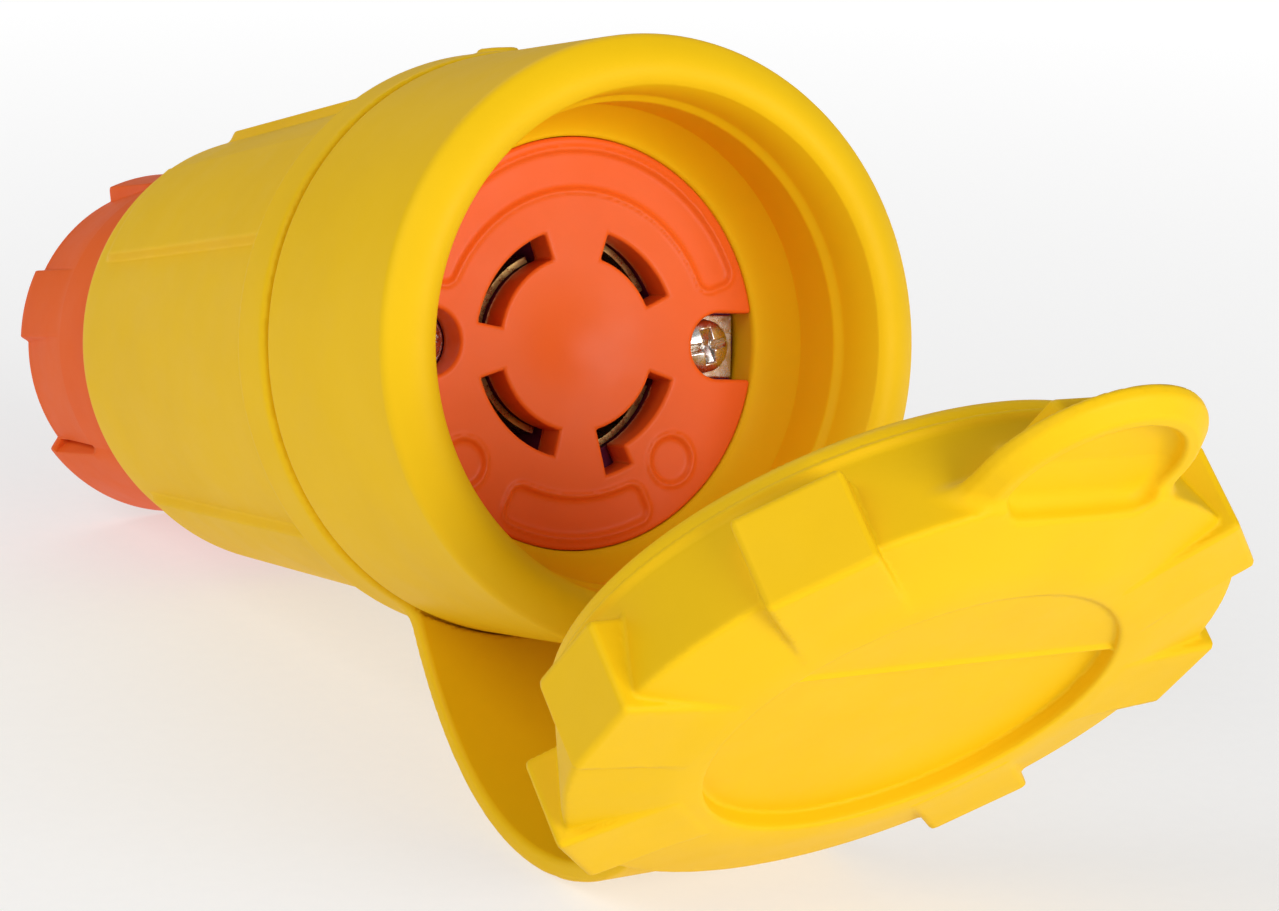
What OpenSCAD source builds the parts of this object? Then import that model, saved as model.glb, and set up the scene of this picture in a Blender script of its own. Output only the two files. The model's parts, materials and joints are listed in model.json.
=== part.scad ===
// Watertight locking connector for a cord: a rubber body round an insert with four
// curved contacts, a ribbed cord-grip nut behind it, and a closure cap on a rubber strap.
// Each piece is drawn about the body's own axis: z runs out of the mouth, y is up and
// z = 0 is the contact face. The last step lays the whole on its nut and strap.

/* [Collar and mouth] */
// Outer diameter of the collar at its front crease
collar_d = 75.4; // [72:0.2:80]
// Outer diameter of the collar at its back edge
collar_back_d = 74.6; // [72:0.2:78]
// Distance from the contact face to the collar's front crease
collar_front = 19.1; // [16:0.1:26]
// Distance from the contact face back to the strap groove
collar_back = 13; // [10:0.5:18]
// Height of the rounded rim in front of the crease
rim_h = 2.6; // [1:0.1:4]
// Diameter of the mouth at its inner lip
lip_d = 62.6; // [61:0.1:66]
// Diameter of the sealing stretch inside the mouth
seal_d = 59.5; // [58:0.1:60.4]
// Depth at which the sealing stretch starts, from the contact face
seal_top = 13.4; // [11:0.1:15]
// Depth at which the sealing stretch ends, from the contact face
seal_bottom = 5.4; // [4:0.1:8]

/* [Barrel] */
// Barrel diameter next to the strap groove
barrel_front_d = 68.4; // [64:0.2:72]
// Barrel diameter at its rear shoulder
barrel_rear_d = 59.2; // [56:0.2:64]
// Distance from the contact face back to the barrel's rear face
barrel_back = 91.5; // [86:0.5:110]
// Radius of the rear shoulder
shoulder_r = 4; // [2:0.5:6]
// Height of the raised grip panels
panel_h = 1.3; // [0.6:0.1:2]
// Distance from the panels' rear end to the barrel's rear face
panel_stop = 8.5; // [6:0.5:16]
// Width of the groove that holds the strap ring
groove_w = 8.2; // [6:0.2:12]
// Depth of that groove below the collar
groove_depth = 3.6; // [2:0.1:5]

/* [Contact insert] */
// Diameter of the contact face
face_d = 52; // [48:0.5:54]
// Thickness of the contact face
face_t = 5; // [4:0.5:8]
// Length of the block behind the contact face
block_l = 29; // [24:0.5:34]
// Turn of the body and its insert inside the strap ring, in degrees
body_turn = -5.6; // [-20:0.1:20]
// Mean diameter of the contact slots
slot_pcd = 25.6; // [24:0.2:28]
// Width of the contact slots
slot_w = 3.3; // [2.5:0.1:4]
// Distance of the assembly screws from the axis
screw_x = 21; // [20.4:0.1:21.4]
// Width of the notches round the screw heads
notch_w = 8.5; // [7.6:0.1:9.5]

/* [Cord grip] */
// Diameter of the nut between its ribs
nut_d = 47.2; // [44:0.2:50]
// Height of the nut's narrow ribs
rib_h = 1.2; // [0.6:0.1:2]
// Height of the nut's wide ribs
wide_rib_h = 2; // [1:0.1:2.6]
// Length of the nut
nut_l = 31.6; // [26:0.2:40]
// Length of the slots beside the nut's wide ribs
slot_l = 11.5; // [8:0.5:18]
// Outer diameter of the gland sleeve's thread
gland_d = 35.8; // [33:0.2:38]
// Diameter of the hole for the cord
cord_d = 17.8; // [10:0.2:20]

/* [Closure cap] */
// Diameter of the cap at its mouth
cap_mouth_d = 74.2; // [70:0.2:77]
// Diameter of the cap at its face edge
cap_face_d = 81.4; // [78:0.2:84]
// Height of the cap's wall
cap_wall_h = 15.6; // [13:0.2:20]
// Height of the domed face above the wall
cap_dome_h = 3.7; // [2.5:0.1:6]
// Distance from the cap's axis to the flat of a grip lug
lug_reach = 41.8; // [40.4:0.1:44]
// Width of a grip lug
lug_w = 13; // [8:0.5:16]
// Distance from the cap's axis to the tip of the pull tab
tab_reach = 55.5; // [52:0.5:60]
// Width of the pull tab
tab_w = 28; // [24:0.5:32]
// Turn of the lugs and tab round the cap, in degrees
lug_turn = -4.4; // [-10:0.1:10]
// Diameter of the recess in the cap's face
dish_d = 50; // [40:0.2:52]
// Outer diameter of the sealing ring inside the cap
spigot_d = 60; // [58:0.1:60.4]
// How far the sealing ring stands out of the cap
spigot_l = 2.8; // [2:0.1:6]

/* [Strap] */
// Width of the strap
strap_w = 38; // [28:1:40]
// Thickness of the strap
strap_t = 2.6; // [2:0.1:3.4]
// Angle at which the cap hangs open, in degrees
open_angle = 55.1; // [45:0.1:65]
// Height of the bending centre below the axis
bend_drop = 47.7; // [45:0.1:54]
// Distance of the bending centre in front of the contact face
bend_front = 14.6; // [10:0.1:20]

/* [Hidden] */
$fn = 96;
// Room between pieces that are fitted together
fit = 0.1;
// Room between pieces that move past each other
play = 0.3;

// Rim of the collar
collar_r = collar_d / 2;
lip_r = lip_d / 2;
lip_z = collar_front + rim_h * 0.6;
rim_pull = [lip_r + 2.2, collar_front + rim_h * 1.5];
rim_top = collar_front + rim_h;
rim_steps = 8;
flank_steps = 6;

// Barrel and groove; each panel as its start and sweep, in degrees
groove_r = collar_back_d / 2 - groove_depth;
groove_back = -collar_back - groove_w;
barrel_front_r = barrel_front_d / 2;
barrel_rear_r = barrel_rear_d / 2;
panel_end = panel_stop - barrel_back;
panel_run = 3;
panels = [[73, 34], [129, 29], [22, 29], [226, 88]];
panel_root = 2;
edge_r = 1.2;
barrel_bead_w = 1.6;
bead_r = barrel_front_r + panel_h * 0.8;

// Inside of the body
pocket_r = face_d / 2 + fit;
block_back = -face_t - block_l;
web_t = 5.6;
web_r = 21;
web_back = block_back - play - web_t;
chamber_r = 24.5;
end_wall = 5;
chamber_back = -barrel_back + end_wall;

// Contact insert: start and sweep of each slot, in degrees
slot_r = slot_pcd / 2;
slots = [[110, 60], [26, 47], [198, 59], [285, 57]];
ground_slot = 3;
ground_leg = 13;
ground_leg_l = 2.6;
slot_lead = 0.5;
label_r = 19.3;
label_w = 5.1;
label_depth = 0.3;
labels = [[20, 140], [243, 54]];
badge_r = 3.1;
badges = [[13.8, -14.6], [-16.2, -15]];
thumb_r = 7.5;
thumb_depth = 0.6;

// Contacts and terminals
leaf_t = 0.8;
blade_t = 1.9;
contact_sweep_less = 3;
contact_front = -face_t - 0.8;
contact_back = block_back + 4;
stem_r = 1.5;
stem_l = 1.6;
clamp_in = 9;
clamp_out = 17.3;
clamp_w = 8;
clamp_l = 8.8;
clamp_screw = 3.4;
wire_r = 2.4;
terminal_screw_r = 1.6;
terminal_head_r = 2.3;
terminal_head_h = 2.2;

// Screws that draw the insert into the body
screw_r = 1.7;
head_r = 3.4;
head_h = 2.4;
retainer_t = 3.8;
retainer_r = 24.2;
retainer_in = 18.8;
insert_r = 2.5;

// Cord grip
gland_r = gland_d / 2;
gland_bore_r = 14;
gasket_t = 1.3;
flange_t = 3.5;
flange_r = 23.4;
nut_r = nut_d / 2;
nut_front = -barrel_back - 0.4;
nut_back = nut_front - nut_l;
nut_wall = 8.4;
nut_floor = nut_back + nut_wall;
washer_t = 1.5;
gland_end = nut_floor + washer_t + play + 0.3;
nut_mouth_r = 12.2;
ribs = [[154.4, 25.2, rib_h], [218.4, 77.2, wide_rib_h]];
nut_slot_w = 1.8;
nut_slot_depth = 2;
nut_slot_lead = 0.5;

// Closure cap
cap_mouth_r = cap_mouth_d / 2;
cap_face_r = cap_face_d / 2;
cap_lip = 2.2;
bead_h = 1;
bead_w = 0.3;
cap_bore_r = cap_mouth_r - 4.2;
cap_floor = cap_wall_h - 3.8;
spigot_t = 1.9;
cap_seat = rim_top + play;
dome_r = 28.5;
lug_start = 5.8;
lug_bevel = 0.8;
cap_edge_r = 0.8;
lug_edge = cap_wall_h + 1.6;
edge_sink = 2.9;
lug_angles = [0, 45, 135, 180, 225, 315];
dish_depth = 3.1;
dish_ledge = 9.5;
dish_step = 0.7;
tab_top = cap_wall_h - 0.9;
tab_t = 3.4;
tab_bevel = 1.8;
tab_rim = 3.6;
tab_dish = 2;
tab_nose_y = tab_reach - tab_w / 2;
tab_flare = 35;

// Strap: a curve in the plane of the body's axis, as [along the axis, height]
ring_r = collar_back_d / 2 + 0.3;
nub_angle = 88.5;
nub_r = 2.4;
nub_h = 0.5;
strap_gap = 0.2;
strap_root = [groove_back + 5.3, 2 - groove_r];
strap_root_angle = -73;
strap_root_pull = 41.5;
strap_end_pull = 7.3;
strap_tail = 7;
strap_steps = 24;
strap_end_z = cap_wall_h - 1.7;
strap_end = cap_point(edge_sink - cap_face_r - strap_gap, strap_end_z);

// Resting pose: the nut's end and the strap's underside stand on the floor
rest_r = nut_r + max(rib_h, wide_rib_h);
lean = max([for (i = [0 : strap_steps]) rest_angle(strap_point(i / strap_steps))]);
rest_drop = rest_r * cos(lean) - nut_back * sin(lean);
tab_nose = tab_w / 2 + tab_nose_y * cos(lug_turn);
tab_tip = cap_point(tab_nose, tab_top - tab_bevel);
rest_rear = rest_r * sin(lean) - nut_back * cos(lean);
rest_front = tab_tip[1] * sin(lean) - tab_tip[0] * cos(lean);

yellow = [0.98, 0.78, 0.08];
orange = [0.92, 0.33, 0.16];
brass = [0.80, 0.62, 0.30];
nickel = [0.75, 0.74, 0.70];
black_rubber = [0.10, 0.10, 0.11];
natural_nylon = [0.86, 0.80, 0.62];
dark_nylon = [0.24, 0.08, 0.13];

// A point of the hanging cap, given by its height y over the cap's axis and its depth z
// from the cap's mouth, as [along the body's axis, height]
function cap_point(y, z) =
    let (dy = y + bend_drop, dz = z + cap_seat - bend_front)
    [bend_front + dy * sin(open_angle) + dz * cos(open_angle),
     -bend_drop + dy * cos(open_angle) - dz * sin(open_angle)];

// Points of a cubic curve from its two ends and its two pulls
function curve(p, t) =
    pow(1 - t, 3) * p[0] + 3 * t * pow(1 - t, 2) * p[1] + 3 * t * t * (1 - t) * p[2] + pow(t, 3) * p[3];
function curve_run(p, t) =
    3 * pow(1 - t, 2) * (p[1] - p[0]) + 6 * t * (1 - t) * (p[2] - p[1]) + 3 * t * t * (p[3] - p[2]);
function unit(p) = p / norm(p);

function strap_curve() =
    let (end_run = [sin(open_angle), cos(open_angle)])
    [strap_root,
     strap_root + strap_root_pull * [cos(strap_root_angle), sin(strap_root_angle)],
     strap_end - strap_end_pull * end_run,
     strap_end];
function strap_point(t) = curve(strap_curve(), t);
function strap_side(t) = let (run = unit(curve_run(strap_curve(), t))) [-run[1], run[0]];
function rest_angle(p) = atan2(-p[1] - rest_r, p[0] - nut_back);

// Points of an arc about a centre
function arc(centre, r, from, to, steps = 6) =
    [for (i = [0 : steps]) let (a = from + (to - from) * i / steps) centre + r * [cos(a), sin(a)]];

// Rounded rim, from the inner lip to the crease
function rim() =
    let (a = [lip_r, lip_z], c = [collar_r, collar_front])
    [for (i = [0 : rim_steps])
        let (t = i / rim_steps)
        (1 - t) * (1 - t) * a + 2 * t * (1 - t) * rim_pull + t * t * c];

// Radius of the barrel between its panels
function barrel_r(z) =
    barrel_rear_r + (barrel_front_r - barrel_rear_r) * (z + barrel_back - shoulder_r) /
    (groove_back + barrel_back - shoulder_r);

// Outline of the body behind its rim, from the crease back to the gland's hole
function shell_outside() = concat(
    arc([collar_back_d / 2 - edge_r, edge_r - collar_back], edge_r, 0, -90, 4),
    [[groove_r, -collar_back], [groove_r, groove_back], [bead_r, groove_back],
     [bead_r, groove_back - barrel_bead_w],
     [barrel_r(groove_back - 2 * barrel_bead_w), groove_back - 2 * barrel_bead_w]],
    arc([barrel_rear_r - shoulder_r, shoulder_r - barrel_back], shoulder_r, 0, -90));

// Outline of the body's inside, from the gland's hole forward to the mouth
function shell_inside() =
    concat(
        [[gland_r + 2 * fit, -barrel_back], [gland_r + 2 * fit, chamber_back],
         [chamber_r, chamber_back], [chamber_r, web_back], [web_r, web_back],
         [web_r, web_back + web_t], [pocket_r, web_back + web_t], [pocket_r, 0]],
        [for (i = [1 : flank_steps])
            let (a = 90 * i / flank_steps)
            [pocket_r + (seal_d / 2 - pocket_r) * sin(a), seal_bottom * (1 - cos(a))]],
        [[seal_d / 2, seal_top - 0.3], [seal_d / 2 + 0.7, seal_top]]);

// Lays what is drawn about the body's axis on the floor
module laid() {
    translate([0, -(rest_rear + rest_front) / 2, rest_drop])
        rotate([90 - lean, 0, 0])
            children();
}

// Swings what is drawn about the cap's axis from the closed place to the open one
module hung() {
    translate([0, -bend_drop, bend_front])
        rotate([open_angle, 0, 0])
            translate([0, bend_drop, cap_seat - bend_front])
                children();
}

// A ring about the axis, between two radii and two heights
module ring(r_in, r_out, z_low, z_high) {
    translate([0, 0, z_low])
        difference() {
            cylinder(r = r_out, h = z_high - z_low);
            translate([0, 0, -1])
                cylinder(r = r_in, h = z_high - z_low + 2);
        }
}

// A part of such a ring, from an angle over a sweep
module sector(r_in, r_out, z_low, z_high, from, sweep) {
    rotate([0, 0, from])
        rotate_extrude(angle = sweep)
            translate([r_in, z_low])
                square([r_out - r_in, z_high - z_low]);
}

// A flat outline in the plane of the axis, as [outward, along the axis], given a width
module rib_plate(points, width) {
    rotate([90, 0, 0])
        linear_extrude(height = width, center = true)
            polygon(points);
}

module barrel_panel(from, sweep) {
    front = groove_back - fit;
    rotate([0, 0, from])
        rotate_extrude(angle = sweep)
            polygon([[barrel_r(front) - panel_root, front],
                     [barrel_r(front) + panel_h, front],
                     [barrel_r(panel_end) + panel_h, panel_end],
                     [barrel_r(panel_end) - 0.2, panel_end - panel_run],
                     [barrel_r(panel_end) - panel_root, panel_end - panel_run]]);
}

module body_shell() {
    color(yellow)
        laid() {
            difference() {
                rotate_extrude()
                    polygon(concat(rim(), shell_outside(), shell_inside()));
                for (side = [0, 180])
                    rotate([0, 0, body_turn + side])
                        translate([screw_x, 0, web_back - 1])
                            cylinder(r = screw_r + 0.4, h = web_t + 2);
            }
            for (p = panels)
                barrel_panel(body_turn + p[0], p[1]);
        }
}

module strap_ring() {
    ring_front = -collar_back - 2 * fit;
    ring_back = groove_back + 2 * fit;
    outer = [for (i = [0 : strap_steps]) strap_point(i / strap_steps)];
    inner = [for (i = [strap_steps : -1 : 0])
        strap_point(i / strap_steps) + strap_t * strap_side(i / strap_steps)];
    tail = strap_tail * [sin(open_angle), cos(open_angle)];
    color(yellow)
        laid() {
            rotate_extrude()
                polygon(concat(
                    [[groove_r + fit, ring_front]],
                    arc([ring_r - edge_r, ring_front - edge_r], edge_r, 90, 0, 4),
                    arc([ring_r - edge_r, ring_back + edge_r], edge_r, 0, -90, 4),
                    [[groove_r + fit, ring_back]]));
            rotate([0, 0, nub_angle])
                translate([groove_r + 1, 0, (ring_front + ring_back) / 2])
                    rotate([0, 90, 0])
                        cylinder(r1 = nub_r + 0.6, r2 = nub_r, h = ring_r - groove_r - 1 + nub_h);
            difference() {
                rotate([0, -90, 0])
                    linear_extrude(height = strap_w, center = true)
                        polygon(concat(outer, [strap_end + tail],
                                       [strap_end + tail + strap_t * strap_side(1)], inner));
                translate([0, 0, groove_back - strap_w])
                    cylinder(r = groove_r + fit, h = 2 * strap_w);
                translate([0, 0, ring_front])
                    cylinder(r = collar_r + play, h = strap_w);
                hung()
                    translate([0, 0, -spigot_l])
                        cylinder(r = cap_face_r + strap_gap, h = spigot_l + cap_wall_h + cap_dome_h);
            }
        }
}

module grip_lug(angle) {
    rotate([0, 0, angle])
        rib_plate([[cap_bore_r + 1.2, lug_start], [lug_reach - lug_bevel, lug_start],
                   [lug_reach, lug_start + lug_bevel], [lug_reach, lug_edge], [dome_r, cap_wall_h + cap_dome_h - 0.8],
                   [dome_r - 2, cap_floor + 2], [cap_bore_r + 1.2, cap_floor]], lug_w);
}

// Half of the tab's waist: a hollow curve from the tab's side to the cap's edge, as points
function tab_waist(inset) =
    let (root = (cap_face_r - edge_sink - inset / 2) * [sin(tab_flare), cos(tab_flare)],
         side = tab_w / 2 - inset,
         out = root[0] - side,
         down = tab_nose_y - root[1],
         r = (out * out + down * down) / (2 * out),
         turn = asin(down / r))
    arc([side + r, tab_nose_y], r, 180 + turn, 180, 6);

module tab_outline(inset) {
    waist = tab_waist(inset);
    translate([0, tab_nose_y])
        circle(r = tab_w / 2 - inset);
    polygon(concat([[0, cap_bore_r + 1.4]], waist,
                   [for (i = [len(waist) - 1 : -1 : 0]) [-waist[i][0], waist[i][1]]]));
}

// Thumb hollow in the tab's face side
module tab_hollow() {
    nose = tab_w / 2 - tab_rim;
    start = cap_face_r - edge_sink - 0.5;
    translate([0, tab_nose_y])
        circle(r = nose);
    translate([-nose, start])
        square([2 * nose, tab_nose_y - start]);
}

module pull_tab() {
    low = tab_top - tab_t;
    edge = tab_top - tab_bevel;
    difference() {
        union() {
            translate([0, 0, low])
                linear_extrude(height = edge - low)
                    tab_outline(0);
            translate([0, 0, low])
                linear_extrude(height = tab_t)
                    tab_outline(tab_bevel);
            translate([0, tab_nose_y, edge])
                cylinder(r1 = tab_w / 2, r2 = tab_w / 2 - tab_bevel, h = tab_bevel);
            rotate([0, 0, 90])
                rib_plate([[cap_mouth_r - 2, low - tab_rim], [tab_reach - 2.2 * tab_rim, low - tab_rim],
                           [tab_reach - 2 * tab_rim, low - 0.8 * tab_rim],
                           [tab_reach - 1.7 * tab_rim, low + 0.5], [cap_mouth_r - 2, low + 0.5]],
                          tab_w - 4 * tab_rim);
        }
        translate([0, 0, tab_top - tab_dish])
            linear_extrude(height = 2 * tab_t)
                tab_hollow();
    }
}

// Recess in the cap's face: a sloped upper part, a ledge across, and a flat floor below it
module face_recess() {
    top = cap_wall_h + cap_dome_h;
    r = dish_d / 2;
    floor_z = top - dish_depth;
    intersection() {
        translate([0, 0, floor_z])
            cylinder(r = r, h = 2 * dish_depth);
        rotate([90, 0, 90])
            linear_extrude(height = dish_d + 2, center = true)
                polygon([[-r - 1, floor_z], [dish_ledge, floor_z], [dish_ledge, floor_z + dish_step],
                         [r + 1, top - 0.5], [r + 1, top + dish_depth], [-r - 1, top + dish_depth]]);
    }
}

module closure_cap() {
    top = cap_wall_h + cap_dome_h;
    spigot_r = spigot_d / 2;
    color(yellow)
        laid()
            hung()
                difference() {
                    union() {
                        rotate_extrude()
                            polygon(concat(
                                [[0, cap_floor], [spigot_r - spigot_t, cap_floor],
                                 [spigot_r - spigot_t, -spigot_l], [spigot_r - 0.6, -spigot_l],
                                 [spigot_r, -spigot_l + 1.2], [spigot_r, cap_floor],
                                 [cap_bore_r, cap_floor], [cap_bore_r, 0]],
                                arc([cap_mouth_r - cap_lip, cap_lip], cap_lip, -90, 0, 5),
                                [[cap_mouth_r + bead_w, cap_lip + bead_h / 2], [cap_mouth_r, cap_lip + bead_h]],
                                arc([cap_face_r - cap_edge_r, cap_wall_h - cap_edge_r], cap_edge_r, 0, 70, 4),
                                [[dome_r, top - 0.9], [dome_r / 2, top - 0.2], [0, top]]));
                        rotate([0, 0, lug_turn]) {
                            for (angle = lug_angles)
                                grip_lug(angle);
                            pull_tab();
                        }
                    }
                    rotate([0, 0, lug_turn])
                        face_recess();
                }
}

module contact_face() {
    color(orange)
        laid()
            rotate([0, 0, body_turn])
                difference() {
                    translate([0, 0, -face_t])
                        cylinder(d = face_d, h = face_t);
                    for (s = slots) {
                        sector(slot_r - slot_w / 2, slot_r + slot_w / 2, -face_t - 1, 1, s[0], s[1]);
                        rotate([0, 0, s[0]])
                            rotate_extrude(angle = s[1])
                                polygon([[slot_r - slot_w / 2, -slot_lead], [slot_r + slot_w / 2, -slot_lead],
                                         [slot_r + slot_w / 2 + 2 * slot_lead, slot_lead],
                                         [slot_r - slot_w / 2 - 2 * slot_lead, slot_lead]]);
                    }
                    sector(slot_r, slot_r + slot_w / 2 + ground_leg_l, -face_t - 1, 1,
                           slots[ground_slot][0], ground_leg);
                    for (side = [0, 180])
                        rotate([0, 0, side]) {
                            translate([screw_x, 0, -face_t - 1])
                                cylinder(d = notch_w, h = face_t + 2);
                            translate([screw_x, -notch_w / 2, -face_t - 1])
                                cube([face_d, notch_w, face_t + 2]);
                        }
                    for (l = labels)
                        sector(label_r, label_r + label_w, -label_depth, 1, l[0], l[1]);
                    for (b = badges)
                        translate([b[0], b[1], -label_depth])
                            cylinder(r = badge_r, h = 1);
                    thumb_sphere = (thumb_r * thumb_r + thumb_depth * thumb_depth) / (2 * thumb_depth);
                    translate([0, 0, thumb_sphere - thumb_depth])
                        sphere(r = thumb_sphere);
                }
}

// Hollow that a contact sits in, wider than the contact by a fit
module contact_pocket(s) {
    wide = blade_t / 2 + leaf_t + 2 * fit;
    sector(slot_r - wide, slot_r + wide, contact_back - fit, 1, s[0] - 1, s[1] + 2);
    rotate([0, 0, s[0] + s[1] / 2])
        translate([slot_r, 0, block_back - 1])
            cylinder(r = stem_r + fit, h = contact_back - block_back + 1);
}

module contact_block() {
    seal_groove_r = face_d / 2 - 1.8;
    color(dark_nylon)
        laid()
            rotate([0, 0, body_turn])
                difference() {
                    translate([0, 0, block_back])
                        cylinder(r = face_d / 2 - fit, h = block_l - fit);
                    for (s = slots)
                        contact_pocket(s);
                    for (side = [-1, 1])
                        translate([side * screw_x, 0, block_back - 1])
                            cylinder(r = screw_r + 0.4, h = block_l + 2);
                    ring(seal_groove_r, face_d, block_back / 2 - 1, block_back / 2 + 1);
                }
}

// One curved spring contact: two leaves that grip a blade, and the stem of its terminal
module contact(s) {
    half = blade_t / 2;
    from = s[0] + contact_sweep_less;
    sweep = s[1] - 2 * contact_sweep_less;
    color(brass)
        laid()
            rotate([0, 0, body_turn]) {
                rotate([0, 0, from])
                    rotate_extrude(angle = sweep)
                        translate([slot_r, 0])
                            polygon([[-half - leaf_t, contact_back], [half + leaf_t, contact_back],
                                     [half + leaf_t, contact_front], [half, contact_front],
                                     [half, contact_back + leaf_t], [-half, contact_back + leaf_t],
                                     [-half, contact_front], [-half - leaf_t, contact_front]]);
                rotate([0, 0, s[0] + s[1] / 2])
                    translate([slot_r, 0, block_back - stem_l])
                        cylinder(r = stem_r, h = contact_back - block_back + stem_l + leaf_t / 2);
            }
}

module contact_x() { contact(slots[0]); }
module contact_y() { contact(slots[1]); }
module contact_z() { contact(slots[2]); }
module contact_ground() { contact(slots[ground_slot]); }

// Turns to the middle of a slot, with x outward
module at_terminal(s) {
    rotate([0, 0, body_turn + s[0] + s[1] / 2])
        children();
}

module terminal_clamps() {
    top = block_back - fit;
    color(brass)
        laid()
            for (s = slots)
                at_terminal(s)
                    difference() {
                        translate([clamp_in, -clamp_w / 2, top - clamp_l])
                            cube([clamp_out - clamp_in, clamp_w, clamp_l]);
                        translate([slot_r, 0, top - stem_l - fit])
                            cylinder(r = stem_r + fit, h = stem_l + 1);
                        translate([slot_r, 0, top - clamp_l - 1])
                            cylinder(r = wire_r, h = clamp_l - stem_l - 0.4);
                        translate([slot_r, 0, top - clamp_screw])
                            rotate([0, 90, 0])
                                cylinder(r = terminal_screw_r + fit, h = clamp_out);
                    }
}

// One terminal screw, driven inwards, with a slotted head
module terminal_screw(s) {
    at_terminal(s)
        translate([clamp_out, 0, block_back - fit - clamp_screw])
            rotate([0, 90, 0])
                difference() {
                    union() {
                        translate([0, 0, fit])
                            cylinder(r = terminal_head_r, h = terminal_head_h);
                        translate([0, 0, -clamp_out + slot_r + 1])
                            cylinder(r = terminal_screw_r, h = clamp_out - slot_r);
                    }
                    translate([-terminal_head_r, -0.35, terminal_head_h - 0.7])
                        cube([2 * terminal_head_r, 0.7, 2]);
                }
}

module terminal_screws() {
    color(brass)
        laid()
            for (i = [0 : len(slots) - 1])
                if (i != ground_slot)
                    terminal_screw(slots[i]);
}

module ground_screw() {
    color([0.12, 0.45, 0.24])
        laid()
            terminal_screw(slots[ground_slot]);
}

// Pan-head screw with a slot and a cross, seated on the block in its notch
module assembly_screws() {
    crown_r = (head_r * head_r + 1) / 2 + 2.6;
    tip = web_back - retainer_t - 1;
    color(nickel)
        laid()
            rotate([0, 0, body_turn])
                for (side = [-1, 1])
                    translate([side * screw_x, 0, 0])
                        difference() {
                            union() {
                                translate([0, 0, tip])
                                    cylinder(r = screw_r, h = -face_t - tip);
                                intersection() {
                                    translate([0, 0, -face_t])
                                        cylinder(r = head_r, h = head_h);
                                    translate([0, 0, head_h - face_t - crown_r])
                                        sphere(r = crown_r);
                                }
                            }
                            translate([-head_r, -0.5, head_h - face_t - 0.9])
                                cube([2 * head_r, 1, 2]);
                            for (turn = [45, 135])
                                rotate([0, 0, turn])
                                    translate([-1.9, -0.45, head_h - face_t - 1.5])
                                        cube([3.8, 0.9, 3]);
                        }
}

module threaded_inserts() {
    color(brass)
        laid()
            rotate([0, 0, body_turn])
                for (side = [-1, 1])
                    translate([side * screw_x, 0, 0])
                        ring(screw_r + fit / 2, insert_r, web_back - fit - retainer_t, web_back - fit);
}

module retainer_ring() {
    low = web_back - fit - retainer_t;
    color(natural_nylon)
        laid()
            rotate([0, 0, body_turn])
                difference() {
                    union() {
                        ring(retainer_in, retainer_r, low, web_back - fit);
                        intersection() {
                            cylinder(r = retainer_r, h = -2 * low, center = true);
                            for (side = [-1, 1])
                                translate([side * screw_x, 0, low])
                                    cylinder(r = insert_r + 1.3, h = retainer_t);
                        }
                    }
                    for (side = [-1, 1])
                        translate([side * screw_x, 0, low - 1])
                            cylinder(r = insert_r + fit / 2, h = retainer_t + 2);
                }
}

module block_seal() {
    cord_r = 0.85;
    color(black_rubber)
        laid()
            rotate_extrude()
                translate([face_d / 2 - 1.8 + cord_r + fit / 2, block_back / 2])
                    circle(r = cord_r, $fn = 24);
}

module gland_sleeve() {
    flange_back = chamber_back + gasket_t + fit;
    step = 2;
    color(orange)
        laid()
            rotate_extrude()
                polygon([[gland_bore_r - 3, flange_back + flange_t], [flange_r, flange_back + flange_t],
                         [flange_r, flange_back], [gland_r, flange_back],
                         [gland_r, gland_end + 0.6], [gland_r - 0.6, gland_end],
                         [gland_bore_r, gland_end], [gland_bore_r, nut_front],
                         [gland_bore_r - 3, nut_front + step]]);
}

module gland_gasket() {
    color(black_rubber)
        laid()
            ring(gland_r + fit, flange_r - 0.4, chamber_back + fit / 2, chamber_back + gasket_t);
}

module cord_seal() {
    front = nut_front - play;
    back = gland_end + 0.4;
    r = gland_bore_r - 2 * fit;
    color(black_rubber)
        laid()
            rotate_extrude()
                polygon([[cord_d / 2, front], [r - 2.4, front], [r, front - 2.4], [r, back + 4],
                         [r - 1.6, back], [cord_d / 2 + 0.8, back], [cord_d / 2, back + 0.8]]);
}

module slip_washer() {
    low = nut_floor + fit;
    color(natural_nylon)
        laid()
            ring(cord_d / 2 + 1.6, gland_r - 0.3, low, low + washer_t);
}

module nut_rib(from, sweep, height) {
    rotate([0, 0, from])
        rotate_extrude(angle = sweep)
            polygon([[nut_r - 2, nut_front - 0.6], [nut_r + height - 0.4, nut_front - 0.6],
                     [nut_r + height, nut_front - 1], [nut_r + height, nut_back],
                     [nut_r - 2, nut_back]]);
}

module cord_grip_nut() {
    thread_r = gland_r + play;
    flare = 1.8;
    slot_back = nut_back + 2;
    color(orange)
        laid()
            difference() {
                union() {
                    rotate_extrude()
                        polygon([[thread_r, nut_front], [nut_r, nut_front], [nut_r, nut_back + 0.6],
                                 [nut_r - 0.6, nut_back], [nut_mouth_r + flare, nut_back],
                                 [nut_mouth_r, nut_back + flare], [nut_mouth_r, nut_floor],
                                 [thread_r, nut_floor]]);
                    for (half = [0, 180])
                        for (r = ribs)
                            nut_rib(body_turn + half + r[0], r[1], r[2]);
                }
                for (half = [0, 180])
                    rotate([0, 0, body_turn + half + ribs[1][0]])
                        translate([nut_r - nut_slot_depth, -nut_slot_lead, slot_back])
                            cube([nut_slot_depth + wide_rib_h + 1, nut_slot_w, slot_l]);
            }
}

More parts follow.
